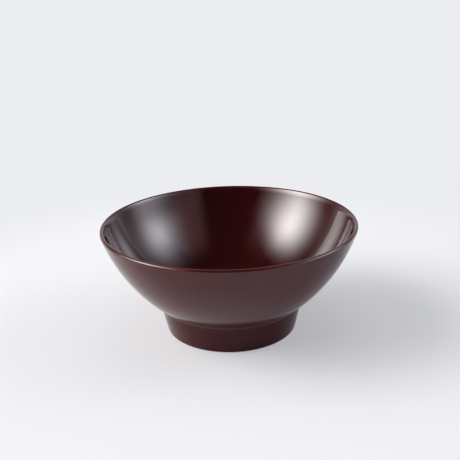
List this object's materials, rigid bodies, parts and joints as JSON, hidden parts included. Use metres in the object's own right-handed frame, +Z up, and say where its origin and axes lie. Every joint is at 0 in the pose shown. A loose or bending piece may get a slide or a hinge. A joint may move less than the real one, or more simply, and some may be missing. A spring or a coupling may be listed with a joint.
{
  "type": "bowl",
  "caption": "Round lacquered wooden bowl with a flaring, gently curved wall, a full-round lip and a tall tapered foot, for serving noodles, soup or rice.",
  "frame": {"origin": "middle of the standing edge, on the surface that the bowl stands on", "axes": "+Z up along the turning axis, from the foot to the rim; X and Y are alike on a turned bowl"},
  "size_m": [0.195, 0.195, 0.085],
  "materials": {
    "wood": "turned, bare under the lacquer",
    "lacquer": "satin gloss, dark red-brown"
  },
  "bodies": {
    "root": {"wood_core": "wood", "foot_ring": "wood", "inner_lacquer": "lacquer", "outer_lacquer": "lacquer", "foot_lacquer": "lacquer", "base_lacquer": "lacquer"}
  },
  "joints": []
}
